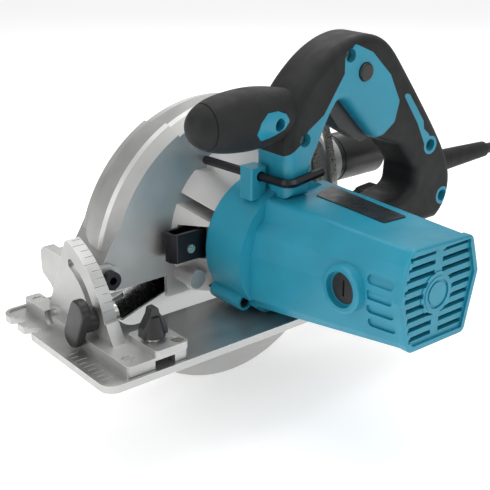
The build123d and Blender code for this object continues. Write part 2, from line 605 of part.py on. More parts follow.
def gear_housing():
    """Cast cup between the blade case and the motor: a ramp from the case up to the motor flange."""
    x, z = SPINDLE_X, SPINDLE_Z
    wide = Plane((FLANGE_X, CASE_IN_Y, FLANGE_Z + 3), x_dir=(1, 0, 0), z_dir=(0, -1, 0)) * Circle(60.0)
    narrow = Plane((FLANGE_X, FLANGE_Y0, FLANGE_Z), x_dir=(1, 0, 0), z_dir=(0, -1, 0)) * Circle(45.5)
    ramp = loft([wide, narrow])
    ramp &= box(-120, 52, -20, 30, 8.0, 120)
    body = ramp + slab_y(disc(40.0, 24.0, 6.5), CASE_IN_Y, 9.0)
    body += slab_y(disc(MOTOR_X, MOTOR_Z, 17.0), FLANGE_Y0 - 1, 21.5)
    body += slab_y(disc(x, z, 10.5), FLANGE_Y0 - 1, 17.0)
    body -= box(25.5, 70.0, -7.0, 20, 37.5, 60.0)
    body -= Pos(40, 4, 69.5) * Rot(-28, 0, 0) * Box(50, 40, 6.5)
    body -= Pos(20, 4, 96.5) * Rot(-8, 0, 10) * Box(11, 30, 9)
    body -= slab_y(disc(x, z, 22.0), -8.0, 7.0) + slab_y(disc(x, z, 25.0), -11.0, -8.0)
    body -= slab_y(disc(MOTOR_X, MOTOR_Z, 8.0), -8.0, 13.0)
    body -= slab_y(disc(MOTOR_X, MOTOR_Z, 14.0), 12.5, 22.0)
    body -= slab_y(disc(x, z, 8.0), 6.0, 16.5)
    for u, v in MOTOR_SCREWS:
        body -= slab_y(disc(u, v, 2.0), CASE_IN_Y + 4, 20)
    for u, v in CASE_SCREWS:
        body -= slab_y(disc(u, v, 2.0), CASE_IN_Y - 1, CASE_IN_Y + 5)
    return body


def case_screws():
    """Screws from inside the blade case into the gear housing."""
    screws = []
    for u, v in CASE_SCREWS:
        top = CASE_IN_Y - CASE_WALL - 0.5
        screw = slab_y(disc(u, v, 3.6) - hexagon(u, v, 3.0), top - 0.6, top + 1.5)
        screws.append(screw + slab_y(disc(u, v, 2.0), top + 1.5, CASE_IN_Y + 5))
    return screws


def bearing_retainer():
    """The bearing cap of the spindle; its nose is the lower guard's pivot."""
    x, z = SPINDLE_X, SPINDLE_Z
    cap = slab_y(ring(x, z, RETAINER_R - 0.05, 14.0), CASE_IN_Y - 3.5, CASE_IN_Y)
    cap += slab_y(ring(x, z, NOSE_R, 14.0), -22.0, CASE_IN_Y - 3.5)
    cap += slab_y(ring(x, z, NOSE_R, 8.6), -23.2, -22.0)
    return cap - slab_y(ring(x, z, NOSE_R + 1, NOSE_R - 0.7), -19.8, -18.6)


def guard_circlip():
    return slab_y(ring(SPINDLE_X, SPINDLE_Z, NOSE_R + 2.6, NOSE_R - 0.7)
                  - wedge(SPINDLE_X, SPINDLE_Z, 60, 255, 285), -19.7, -18.7)


def ball_bearings():
    """Spindle front and rear, armature front and rear."""
    rows = [(SPINDLE_X, SPINDLE_Z, 14.0, 6.04, BEARING_Y0, BEARING_Y1),
            (SPINDLE_X, SPINDLE_Z, 8.0, 5.04, 8.0, 16.0),
            (MOTOR_X, MOTOR_Z, 14.0, 6.04, 13.0, 21.0),
            (MOTOR_X, MOTOR_Z, 11.0, 4.04, 145.0, 152.0)]
    return Compound([slab_y(ring(x, z, outer, bore), y0, y1) for x, z, outer, bore, y0, y1 in rows])


def guard_spring():
    """The torsion spring that closes the lower guard, wound round the retainer nose."""
    return slab_y(ring(SPINDLE_X, SPINDLE_Z, NOSE_R + 2.4, NOSE_R + 0.6), -22.6, -20.2)


def guard_stop():
    x, z = polar(SPINDLE_X, SPINDLE_Z, 40.0, -10.0)
    top = CASE_IN_Y - CASE_WALL - 0.5
    return slab_y(disc(x, z, 4.0), top - 4.5, top)


def shaft_lock():
    """A bent strip round a sliding pin, pushed towards the spindle to hold it still."""
    width, height = LOCK_Y1 - LOCK_Y0, LOCK_Z1 - LOCK_Z0
    outer = outline([(LOCK_X0, LOCK_Y0), (LOCK_X1 - 3, LOCK_Y0), (LOCK_X1, LOCK_Y0 + 4),
                                 (LOCK_X1, LOCK_Y1 - 4), (LOCK_X1 - 3, LOCK_Y1), (LOCK_X0, LOCK_Y1)], 1.2)
    hollow = pad(LOCK_X0 + 8, (LOCK_Y0 + LOCK_Y1) / 2, 34, width - 5.0, 2.0)
    strip = slab_z(outer, LOCK_Z0, LOCK_Z1) - slab_z(hollow, LOCK_Z0 + 4.0, LOCK_Z1 + 1)
    strip -= slab_y(disc(44.0, LOCK_Z0 + height * 0.42, 2.0), LOCK_Y1 - 3, LOCK_Y1 + 1)
    return strip


def lock_rivet():
    x, z = 44.0, LOCK_Z0 + (LOCK_Z1 - LOCK_Z0) * 0.42
    return slab_y(disc(x, z, 2.0), LOCK_Y1 - 2.5, LOCK_Y1) + slab_y(disc(x, z, 3.0), LOCK_Y1, LOCK_Y1 + 0.9)


keep("gear_housing", gear_housing())
keep("bearing_retainer", bearing_retainer())
keep("guard_circlip", guard_circlip())
keep("ball_bearings", ball_bearings())
keep("guard_spring", guard_spring())
keep("guard_stop", guard_stop())
keep("shaft_lock", shaft_lock())
keep("shaft_lock_rivet", lock_rivet())


# ---------------------------------------------------------------- motor housing
HOUSING_Y0 = 42.0
FRONT_SECTION = [(21, 11), (27, 20), (27, 50), (23, 66), (16, 72), (13, 86), (-44, 86), (-60, 50), (-50, 9)]
END_SECTION = [(1.5, 19.5), (5, 25), (12.5, 53), (9.5, 68), (8, 75), (3, 83),
               (-48, 80.5), (-55, 57), (-46, 19)]
SECTION_CORNER = 3.6
END_LIP = 1.0
LIP_Y0 = MOTOR_END_Y - 6.0
WRENCH_CLIP = (7.0, 20.0, 29.0, 41.0)


def section_at(y, points, corner, inset):
    section = outline(points, corner)
    if inset:
        section = offset(section, amount=-inset)
    return Plane((0, y, 0), x_dir=(1, 0, 0), z_dir=(0, -1, 0)) * section


def housing_loft(inset, end_y=None):
    """The tapered barrel of the motor housing, drawn in by the inset all round."""
    end_y = MOTOR_END_Y - inset if end_y is None else end_y
    front = section_at(HOUSING_Y0, FRONT_SECTION, SECTION_CORNER, inset)
    end = section_at(end_y, END_SECTION, SECTION_CORNER, inset)
    return loft([front, end])


def flange_sketch(inset):
    return disc(FLANGE_X, FLANGE_Z, FLANGE_R - inset) & box_sketch(-90, 60, 6.0 + inset, 120)


def housing_outer():
    flange = slab_y(flange_sketch(0), FLANGE_Y0, FLANGE_Y1)
    flange = fillet(flange.faces().sort_by(Axis.Y)[0].edges(), 2.5)
    lip = slab_y(offset(outline(END_SECTION, 3.6), amount=END_LIP), LIP_Y0, MOTOR_END_Y)
    lip = fillet(lip.edges().group_by(Axis.Y)[-1], 1.5)
    return flange + housing_loft(0, MOTOR_END_Y - 2.0) + lip


def vent_cuts():
    """Level slots either side of an upright bar in the end wall, cut short round the middle boss."""
    slots = None
    for row in range(9):
        z = 25.5 + 6.4 * row
        widen = 8.0 * (1 - abs(z - 56.0) / 38.0)
        for side in (-1, 1):
            x0, x1 = MOTOR_X + side * 3.2, MOTOR_X + side * (22.5 + widen)
            slot = box_sketch(min(x0, x1), max(x0, x1), z, z + 2.9)
            slots = slot if slots is None else slots + slot
    slots -= disc(MOTOR_X, MOTOR_Z, 12.5)
    return slab_y(slots, MOTOR_END_Y - 5, MOTOR_END_Y + 1)


def side_fins(side):
    """Level grooves between the brush boss and the end lip, with fins left between them."""
    cuts = None
    for z in (33.0, 42.5, 52.0, 61.5):
        reach = sorted((MOTOR_X + side * 2.0, MOTOR_X + side * 60.0))
        groove = slab_x(pad(BRUSH_Y + 24.5, z, 19.0, 6.0, 2.9), *reach)
        cuts = groove if cuts is None else cuts + groove
    boss = slab_x(disc(BRUSH_Y, MOTOR_Z, BOSS_OUTER_R + 1.5), -80, 40)
    return cuts - housing_loft(1.8, MOTOR_END_Y) - boss


def motor_housing(outer):
    body = outer - slab_y(offset(outline(END_SECTION, 3.6), amount=-3.0), MOTOR_END_Y - 1.6, MOTOR_END_Y + 1)
    for u, v in MOTOR_SCREWS:
        body += slab_y(disc(u, v, 6.0), FLANGE_Y0 + 0.5, 41.0)
    body -= slab_y(flange_sketch(3.2), FLANGE_Y0 - 1, FLANGE_Y1 - 3)
    body -= housing_loft(HOUSING_WALL, MOTOR_END_Y - 4.6)
    body += slab_y(ring(MOTOR_X, MOTOR_Z, 14.0, 11.0), 144.5, MOTOR_END_Y - 1)
    body += slab_y(ring(MOTOR_X, MOTOR_Z, 11.0, 9.3), MOTOR_END_Y - 2, MOTOR_END_Y - 0.6)
    body += slab_y(disc(MOTOR_X, MOTOR_Z, 7.4), MOTOR_END_Y - 2, MOTOR_END_Y - 0.8)
    body -= vent_cuts()
    for side, (x0, x1) in BRUSH_SIDES.items():
        face = x1 if side > 0 else x0
        boss = slab_x(disc(BRUSH_Y, MOTOR_Z, BOSS_OUTER_R), *sorted((face - side * 8.0, face + side * 3.4)))
        body += fillet(boss.edges().group_by(Axis.X)[-1 if side > 0 else 0], 1.6)
        body -= slab_x(disc(BRUSH_Y, MOTOR_Z, 9.8), *sorted((face - side * 2.5, face + side * 12.0)))
        body -= slab_x(disc(BRUSH_Y, MOTOR_Z, 11.4), *sorted((face - side * 0.6, face + side * 12.0)))
        body -= side_fins(side)
        body -= slab_x(disc(BRUSH_Y, MOTOR_Z, 7.0), *sorted((face - side * 12.0, face)))
    for u, v in MOTOR_SCREWS:
        body -= slab_y(disc(u, v, 2.0), 0, 45) + slab_y(disc(u, v, 4.2), 36.5, 60)
    x0, x1, y0, y1 = WRENCH_CLIP
    clip = slab_z(pad((x0 + x1) / 2, (y0 + y1) / 2, x1 - x0, y1 - y0, 1.5), 84, WRENCH_TOP + 3.6)
    body += clip - housing_loft(HOUSING_WALL) - slab_y(flange_sketch(3.2), 0, 60)
    return body - wrench_channel()


BRUSH_SIDES = {1: (-5.5, 17.5), -1: (-57.5, -34.5)}
BOSS_OUTER_R = 15.0
WRENCH_BEND = Vector(8.0, 63.6, 98.0)
WRENCH_INNER = Vector(20.5, -7.0, 100.8)
WRENCH_TIP = Vector(-20.0, 63.6, 101.5)
WRENCH_FLATS = 5.0
WRENCH_TOP = 101.5


def wrench_channel():
    direction = (WRENCH_INNER - WRENCH_BEND).normalized()
    start = Plane(WRENCH_BEND - direction * 10, z_dir=direction)
    return extrude(start * Circle(WRENCH_FLATS / 2 + 0.9), amount=90)


def hex_wrench():
    path = FilletPolyline(WRENCH_INNER, WRENCH_BEND, WRENCH_TIP, radius=6.0)
    section = Plane(WRENCH_INNER, z_dir=path % 0) * RegularPolygon(WRENCH_FLATS / 2, 6, major_radius=False)
    return sweep(section, path=path)


def field_core():
    x, z = MOTOR_X, MOTOR_Z
    core = disc(x, z, 29.0) - disc(x, z, 22.0)
    for side in (-1, 1):
        core -= bar(*polar(x, z, 25.5, 90 + 90 * side - 38), *polar(x, z, 25.5, 90 + 90 * side + 38), 4.0)
    return slab_y(core, 46.0, 92.0)


def field_coils():
    x, z = MOTOR_X, MOTOR_Z
    return slab_y(ring(x, z, 28.0, 22.0), 40.5, 46.0) + slab_y(ring(x, z, 28.0, 22.0), 92.0, 99.0)


def fan_baffle():
    return slab_y(ring(MOTOR_X, MOTOR_Z, 28.2, 21.0), 37.3, 39.8)


def brush_group():
    """Two brush holders, each with its carbon, its spring and its cap."""
    holders, carbons, caps = [], [], []
    for side, (x0, x1) in BRUSH_SIDES.items():
        face = x1 if side > 0 else x0
        inner = x0 if side > 0 else x1
        seat = face - side * 2.5
        holders.append(slab_x(ring(BRUSH_Y, MOTOR_Z, 7.0, 5.0), *sorted((inner, seat))))
        tip = MOTOR_X + side * 13.4
        carbons.append(slab_x(pad(BRUSH_Y, MOTOR_Z, 5.0, 8.0, 0.4), *sorted((tip, tip + side * 12))))
        holders.append(slab_x(ring(BRUSH_Y, MOTOR_Z, 3.6, 2.6), *sorted((tip + side * 12, seat))))
        cap = slab_x(disc(BRUSH_Y, MOTOR_Z, 9.6), *sorted((seat, face)))
        slot = bar(BRUSH_Y, MOTOR_Z - 4.5, BRUSH_Y, MOTOR_Z + 4.5, 1.6)
        caps.append(cap - slab_x(slot, *sorted((face - side * 1.2, face + side))))
    return Compound(holders), Compound(carbons), Compound(caps)


def motor_screws():
    screws = []
    for u, v in MOTOR_SCREWS:
        shank = slab_y(disc(u, v, 2.0), CASE_IN_Y + 6, 36.5)
        head = slab_y(disc(u, v, 4.0), 36.5, 39.5)
        screws.append(shank + head - slab_y(cross_recess(u, v, 2.4), 38.0, 41.0))
    return screws


def nameplate(outer):
    region = outline([(-38, 54), (-17, 62), (-17, 122), (-37, 122)], 1.5)
    raised = slab_z(region, 60, 100) & (Pos(0, 0, 0.7) * outer)
    return raised - outer


# ---------------------------------------------------------------- handle
HANDLE_Y0, HANDLE_Y1 = HANDLE_Y - HANDLE_HALF, HANDLE_Y + HANDLE_HALF
OUTER_EDGE = [(5, 110), (5, 130), (-1, 148), (-12, 161), (-27, 173), (-44, 181), (-62, 183.5), (-80, 178),
              (-96, 162), (-123, 127), (-146, 94), (-155.2, 71), (-152, 52), (-142, 41)]
INNER_EDGE = [(-50, 64), (-104, 64), (-114, 70), (-115, 84), (-98, 104), (-72, 114), (-40, 147), (-31, 134),
              (-17, 108), (-14, 86)]
FOOT_FRONT, FOOT_REAR = (5, 86), (-50, 41)
HANDLE_ROUND = 6.0
PANEL_ROUND = 2.6
TEAL_EDGE = [(5, 80), (6, 114), (-5, 121), (-11, 129), (-24, 137), (-41, 161), (-41, 171), (-50, 179),
             (-66, 172), (-84, 155), (-94, 136), (-90, 122), (-72, 110), (-40, 142), (-31, 128),
             (-17, 106), (-12, 80)]
STRIPE_EDGE = [(-97, 141), (-104, 139), (-111, 130), (-120, 118), (-121, 112), (-126, 108), (-134, 97),
               (-130, 93), (-125, 96), (-114, 117), (-104, 131)]
DROP_EDGE = [(33, 134), (30, 141), (24, 146), (15, 146), (8, 143), (5, 138), (9, 133), (19, 130), (28, 128.5)]
DROP_HOLE = (14.0, 137.0)
BULB_Z, BULB_SEAM_X = 139.0, 58.0
TRIGGER_EDGE = [(-40, 150), (-35, 146), (-36, 137), (-47, 123), (-69, 110), (-76, 112),
                (-75, 119), (-60, 137), (-50, 152)]
TRIGGER_X, TRIGGER_Z = -42.0, 146.0
TRIGGER_Y0, TRIGGER_Y1 = HANDLE_Y - 7.0, HANDLE_Y + 7.0
TRIGGER_SWING = 9.0
PIVOT_PIN_R, RUNNING_FIT = 2.0, 0.05
LOCK_BUTTON = (-60.0, 160.0)
HANDLE_SCREWS = [(-46.0, 172.0), (-8.5, 123.0), (-129.0, 99.0), (-146.0, 58.0)]
SWITCH_BOX = (-98.0, -62.0, 142.0, 160.0)
CORD_EXIT = Vector(-156.0, HANDLE_Y, 77.5)
RELIEF_LENGTH = 56.0


def turned(points, degrees, pivot_x, pivot_z):
    """Points of an (x, z) outline after a turn about +Y."""
    angle = math.radians(degrees)
    result = []
    for x, z in points:
        dx, dz = x - pivot_x, z - pivot_z
        result.append((pivot_x + dx * math.cos(angle) + dz * math.sin(angle),
                       pivot_z - dx * math.sin(angle) + dz * math.cos(angle)))
    return result


def handle_loop():
    """The closed loop of the handle: a smooth back, and an opening for the hand with round corners."""
    opening = [OUTER_EDGE[-1], FOOT_REAR] + INNER_EDGE + [FOOT_FRONT, OUTER_EDGE[0]]
    face = make_face([Spline(*OUTER_EDGE), Polyline(*opening)])
    corners = [v for v in face.vertices() if any(math.dist((v.X, v.Y), p) < 0.01 for p in INNER_EDGE[1:-1])]
    return fillet(corners, HANDLE_ROUND)


def handle_body(outer):
    body = slab_y(handle_loop(), HANDLE_Y0, HANDLE_Y1)
    body = fillet(body.faces().filter_by(Axis.Y).edges(), HANDLE_ROUND)
    pocket = None
    for step in range(4):
        pulled_edge = turned(TRIGGER_EDGE, TRIGGER_SWING * step / 3, TRIGGER_X, TRIGGER_Z)
        sweep_face = offset(outline(pulled_edge), amount=0.6)
        pocket = sweep_face if pocket is None else pocket + sweep_face
    body -= slab_y(pocket, TRIGGER_Y0 - 0.4, TRIGGER_Y1 + 0.4)
    body += slab_y(disc(TRIGGER_X, TRIGGER_Z, PIVOT_PIN_R), TRIGGER_Y0 - 1, TRIGGER_Y1 + 1)
    x0, x1, z0, z1 = SWITCH_BOX
    body -= box(x0, x1, HANDLE_Y - 11, HANDLE_Y + 11, z0, z1)
    body -= slab_y(disc(*LOCK_BUTTON, 6.4), HANDLE_Y + 5, HANDLE_Y1 + 1)
    for u, v in HANDLE_SCREWS:
        body -= slab_y(disc(u, v, 1.9), HANDLE_Y - 10, HANDLE_Y1 + 1)
        body -= slab_y(disc(u, v, 4.4), HANDLE_Y1 - 8.0, HANDLE_Y1 + 1)
    body -= slab_x(disc(CORD_EXIT.Y, CORD_EXIT.Z, 7.5), -170, -140)
    return body - outer


def front_grip():
    """The bulb in front of the handle, turned about a level axis."""
    profile = [(-6, 15), (6, 17.5), (24, 19.5), (42, 18.5), (56, 15.5), (65, 10.5), (69.5, 0)]
    curve = Spline(*[(x, r) for x, r in profile], tangents=[(1, 0.2), (0, -1)])
    face = make_face([curve, Line((69.5, 0), (-6, 0)), Line((-6, 0), (-6, 15))])
    bulb = Pos(0, HANDLE_Y, BULB_Z) * revolve(face, axis=Axis.X)
    bulb -= slab_x(ring(HANDLE_Y, BULB_Z, 25.0, 14.0), BULB_SEAM_X, BULB_SEAM_X + 1.2)
    return bulb - slab_y(disc(*DROP_HOLE, 4.2), HANDLE_Y + 8, 90)


def handle_nodes(outer):
    body = handle_body(outer)
    inlay = outline(STRIPE_EDGE, 1.5)
    for u, v in HANDLE_SCREWS[2:]:
        inlay += disc(u, v, 6.6)
    teal = slab_y(outline(TEAL_EDGE, PANEL_ROUND), 0, 90) + slab_y(inlay, 0, 90)
    drop = slab_y(outline(DROP_EDGE, 2.0), 0, 90)
    bulb = front_grip() - teal
    near, far = box(-200, 100, HANDLE_Y, 90, 30, 200), box(-200, 100, 0, HANDLE_Y, 30, 200)
    grip = (body - teal) + (bulb - drop)
    shell = (body & teal) + (bulb & drop & slab_y(offset(outline(DROP_EDGE, 2.0), amount=-0.3), 0, 90))
    keep("handle_shell_left", shell & far)
    keep("handle_shell_right", shell & near)
    keep("soft_grip_left", grip & far)
    keep("soft_grip_right", grip & near)


def handle_screws():
    screws = []
    for u, v in HANDLE_SCREWS:
        head_y = HANDLE_Y1 - 8.0
        screw = slab_y(disc(u, v, 1.9), HANDLE_Y - 10, head_y) + slab_y(disc(u, v, 3.6), head_y, head_y + 2.6)
        screws.append(screw - slab_y(cross_recess(u, v, 2.2), head_y + 1.4, head_y + 3))
    return Compound(screws)


def trigger_switch():
    x0, x1, z0, z1 = SWITCH_BOX
    return box(x0 + 4, x1 - 1, HANDLE_Y - 10, HANDLE_Y + 7, z0 + 0.5, z1 - 0.5)


def trigger():
    """The finger lever of the switch, bored for its pivot."""
    lever = slab_y(outline(TRIGGER_EDGE, 1.2), TRIGGER_Y0, TRIGGER_Y1)
    pin_bore = disc(TRIGGER_X, TRIGGER_Z, PIVOT_PIN_R + RUNNING_FIT)
    return lever - slab_y(pin_bore, TRIGGER_Y0 - 1, TRIGGER_Y1 + 1)


def lock_button():
    u, v = LOCK_BUTTON
    button = slab_y(disc(u, v, 6.0), HANDLE_Y1 - 5.0, HANDLE_Y1 + 2.0)
    return fillet(button.faces().sort_by(Axis.Y)[-1].edges(), 1.5)


def strain_relief():
    sleeve = Plane(CORD_EXIT, z_dir=(-1, 0, 0))
    tip = Plane(CORD_EXIT + Vector(-RELIEF_LENGTH, 0, 0), z_dir=(-1, 0, 0))
    cone = loft([sleeve * Circle(8.4), tip * Circle(6.0)])
    plug = slab_x(disc(CORD_EXIT.Y, CORD_EXIT.Z, 7.5), CORD_EXIT.X, CORD_EXIT.X + 14)
    return cone + plug


outer_shape = housing_outer()
keep("motor_housing", motor_housing(outer_shape))
keep("field_core", field_core())
keep("field_coils", field_coils())
keep("fan_baffle", fan_baffle())
for name, shape in zip(("brush_holders", "carbon_brushes", "brush_caps"), brush_group()):
    keep(name, shape)
keep("housing_screws", Compound(case_screws() + motor_screws()))
keep("nameplate", nameplate(outer_shape))
keep("hex_wrench", hex_wrench())
handle_nodes(outer_shape)
keep("handle_screws", handle_screws())
keep("trigger_switch", trigger_switch())
keep("trigger", trigger())
keep("lock_off_button", lock_button())
keep("strain_relief", strain_relief())


# ---------------------------------------------------------------- depth clamp
def depth_clamp_bolt():
    bolt = slab_y(disc(GUIDE_X, GUIDE_Z, 7.5), CASE_IN_Y - CASE_WALL - 0.5, CASE_IN_Y - 1.5)
    return bolt + slab_y(disc(GUIDE_X, GUIDE_Z, 4.0), CASE_IN_Y - 1.5, 2.0)


def depth_lever():
    """The clamp nut on the depth bolt, with its lever and a thick knob at the end."""
    y0, y1 = GUIDE_Y1 + 0.3, 4.0
    end_x, end_z = GUIDE_X - 40.0, GUIDE_Z + 3.0
    body = slab_y(disc(GUIDE_X, GUIDE_Z, 9.0), y0, y1)
    body += slab_y(bar(GUIDE_X, GUIDE_Z, end_x, end_z, 9.0), y0 + 2.5, y1 - 2.0)
    grip = slab_y(bar(end_x + 10, end_z - 0.8, end_x, end_z, 13.0), y0 + 0.5, y1 + 3.5)
    body += fillet(grip.edges(), 2.5)
    return body - slab_y(disc(GUIDE_X, GUIDE_Z, 4.05), -8, 2.0)


keep("depth_clamp_bolt", depth_clamp_bolt())
keep("depth_lever", depth_lever())


# ---------------------------------------------------------------- supply cord
CORD_PLAY = 1.0
FLOOR_CORD_Z = FLOOR_Z + CORD_R + 0.3
OUTER_TURN_R = COIL_MID_R + CORD_R
TAIL_X = COIL_X - OUTER_TURN_R
PLUG_Y = COIL_Y - 72.0


def cord_route():
    """The way of the cord from the strain relief down to the top of the coil."""
    end = CORD_EXIT + Vector(-RELIEF_LENGTH, 0, 0)
    lead_x, top = COIL_X + OUTER_TURN_R, FLOOR_Z + COIL_HIGH - CORD_R - CORD_PLAY
    return [end, end + Vector(-46, 0, 0), end + Vector(-80, 0, -34), (lead_x + 1, end.Y, 20.0),
            (lead_x, end.Y, -4.0), (lead_x - 1, end.Y + 11, -24.0), (lead_x, end.Y + 30, -37.0),
            (lead_x, COIL_Y - 18, top), (lead_x, COIL_Y + 1, top)]


def cord_tube(points):
    """Straight runs joined by tangent arcs, each as wide as its runs allow."""
    points = [Vector(*p) if isinstance(p, tuple) else p for p in points]
    radii = []
    for before, corner, after in zip(points, points[1:], points[2:]):
        a, b = before - corner, after - corner
        half_turn = math.radians(180 - a.get_angle(b)) / 2
        radii.append(0.45 * min(a.length, b.length) / math.tan(half_turn))
    edges, start = [], points[0]
    for corner, after, radius in zip(points[1:], points[2:], radii):
        direction_in, direction_out = (corner - start).normalized(), (after - corner).normalized()
        half_turn = math.radians(direction_in.get_angle(direction_out)) / 2
        trim = radius * math.tan(half_turn)
        arc_start, arc_end = corner - direction_in * trim, corner + direction_out * trim
        edges.append(Line(start, arc_start))
        edges.append(TangentArc(arc_start, arc_end, tangent=direction_in))
        start = arc_end
    edges.append(Line(start, points[-1]))
    path = Wire(edges)
    print("cord bend radii", [round(r) for r in radii], "run", round(path.length))
    section = Plane(points[0], z_dir=path % 0) * Circle(CORD_R)
    tube = sweep(section, path=path)
    print("cord tube volume", round(tube.volume), "against", round(math.pi * CORD_R**2 * path.length))
    return tube


def cord_coil():
    """The rest of the cord, wound up: the space its turns fill."""
    turns = ring(COIL_X, COIL_Y, COIL_MID_R + COIL_WIDE / 2, COIL_MID_R - COIL_WIDE / 2)
    coil = slab_z(turns, FLOOR_Z, FLOOR_Z + COIL_HIGH)
    return fillet(coil.edges(), CORD_R / 2)


def cord_tail():
    return Pos(TAIL_X, PLUG_Y, FLOOR_CORD_Z) * Rot(-90, 0, 0) * Cylinder(
        CORD_R, COIL_Y - PLUG_Y, align=(Align.CENTER, Align.CENTER, Align.MIN))


def power_plug():
    """A flat two-pin plug lying on the floor."""
    body = box(TAIL_X - 12.5, TAIL_X + 12.5, PLUG_Y - 44, PLUG_Y - 12, FLOOR_Z, FLOOR_Z + 14)
    body = fillet(body.edges().filter_by(Axis.Y), 5.0)
    sleeve = Plane((TAIL_X, PLUG_Y, FLOOR_Z + 5.2), z_dir=(0, -1, 0)) * Circle(5.1)
    neck = Plane((TAIL_X, PLUG_Y - 13, FLOOR_Z + 6.5), z_dir=(0, -1, 0)) * Circle(6.3)
    body += loft([sleeve, neck])
    for side in (-1, 1):
        body += slab_y(disc(TAIL_X + side * 9.5, FLOOR_Z + 7, 2.0), PLUG_Y - 63, PLUG_Y - 44)
    return body


coil = cord_coil()
keep("power_cord", Compound([cord_tube(cord_route()) - coil, cord_tail() - coil]))
keep("cord_coil", coil)
keep("power_plug", power_plug())


# ---------------------------------------------------------------- written out
for name, shape in nodes.items():
    export_step(shape, f"parts/{name}.step")
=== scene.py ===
"""Circular saw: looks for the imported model, in metres, in the model's own frame."""
import json
import math

import bmesh
import bpy
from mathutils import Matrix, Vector


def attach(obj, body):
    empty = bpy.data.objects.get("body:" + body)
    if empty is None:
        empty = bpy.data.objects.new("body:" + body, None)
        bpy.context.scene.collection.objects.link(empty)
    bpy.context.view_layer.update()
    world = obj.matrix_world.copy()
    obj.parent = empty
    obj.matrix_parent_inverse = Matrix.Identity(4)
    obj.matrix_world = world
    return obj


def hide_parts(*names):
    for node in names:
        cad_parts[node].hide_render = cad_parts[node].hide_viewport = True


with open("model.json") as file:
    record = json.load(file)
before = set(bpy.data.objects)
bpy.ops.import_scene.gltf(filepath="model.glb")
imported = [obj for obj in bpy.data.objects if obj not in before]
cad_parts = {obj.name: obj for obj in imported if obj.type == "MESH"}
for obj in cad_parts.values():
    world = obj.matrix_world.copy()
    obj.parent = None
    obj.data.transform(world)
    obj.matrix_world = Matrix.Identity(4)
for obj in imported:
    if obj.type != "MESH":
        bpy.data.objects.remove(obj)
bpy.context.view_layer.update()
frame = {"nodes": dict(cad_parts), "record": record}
NODES = frame["nodes"]
scene = bpy.context.scene
scene.view_settings.view_transform = "Standard"

# ---------------------------------------------------------------- camera, light and floor
AZIMUTH, ELEVATION = math.radians(140.85), math.radians(21.47)
CAMERA_PLACE = Vector((0.3973, 0.4981, 0.2870))
SENSOR, FOCAL_PER_WIDTH = 36.0, 978.0 / 490.0
STAND_Z = -0.071
FLOOR_GAP = 0.0002
FLOOR_Z = STAND_Z - FLOOR_GAP
FLOOR_HALF = 40.0
FLOOR_GLOW = 0.42
SKY_STRENGTH = 0.62

look = Vector((-math.sin(AZIMUTH) * math.cos(ELEVATION), math.cos(AZIMUTH) * math.cos(ELEVATION),
               -math.sin(ELEVATION)))
camera_data = bpy.data.cameras.new("camera")
camera_data.sensor_width = SENSOR
camera_data.lens = SENSOR * FOCAL_PER_WIDTH
camera_data.clip_start = 0.01
camera = bpy.data.objects.new("camera", camera_data)
camera.location = CAMERA_PLACE
camera.rotation_euler = look.to_track_quat("-Z", "Y").to_euler()
scene.collection.objects.link(camera)
scene.camera = camera


def area_light(name, place, target, size, power):
    """A soft white rectangle of light at the place, turned to face the target."""
    data = bpy.data.lights.new(name, "AREA")
    data.shape = "RECTANGLE"
    data.size, data.size_y = size
    data.energy = power
    lamp = bpy.data.objects.new(name, data)
    lamp.location = place
    lamp.rotation_euler = (Vector(target) - Vector(place)).to_track_quat("-Z", "Y").to_euler()
    scene.collection.objects.link(lamp)


MIDDLE = (-0.03, 0.03, 0.06)
area_light("top_soft", (-0.1, -0.1, 1.2), MIDDLE, (1.2, 1.0), 6.5)
area_light("front_left", (1.2, 0.0, 0.5), MIDDLE, (0.35, 0.9), 4.0)
area_light("near_right", (-0.1, 1.3, 0.9), MIDDLE, (1.0, 0.45), 4.0)
area_light("rim_behind", (-0.8, -0.9, 0.9), MIDDLE, (0.9, 0.6), 3.0)

world = bpy.data.worlds.new("studio")
scene.world = world
world.use_nodes = True
sky = world.node_tree.nodes
sky_ramp = sky.new("ShaderNodeValToRGB")
split = sky.new("ShaderNodeSeparateXYZ")
rescale = sky.new("ShaderNodeMapRange")
rescale.inputs["From Min"].default_value = -1.0
world.node_tree.links.new(sky.new("ShaderNodeTexCoord").outputs["Generated"], split.inputs["Vector"])
world.node_tree.links.new(split.outputs["Z"], rescale.inputs["Value"])
world.node_tree.links.new(rescale.outputs["Result"], sky_ramp.inputs["Fac"])
# Brightness of the surroundings from straight down to straight up, as place and level.
SKY = [(0.30, 0.75), (0.48, 0.40), (0.60, 0.30), (0.78, 0.85), (1.0, 1.0)]
while len(sky_ramp.color_ramp.elements) < len(SKY):
    sky_ramp.color_ramp.elements.new(0.5)
for element, (position, level) in zip(sky_ramp.color_ramp.elements, SKY):
    element.position = position
    element.color = (level, level, level, 1)
world.node_tree.links.new(sky_ramp.outputs["Color"], sky["Background"].inputs["Color"])
sky["Background"].inputs["Strength"].default_value = SKY_STRENGTH


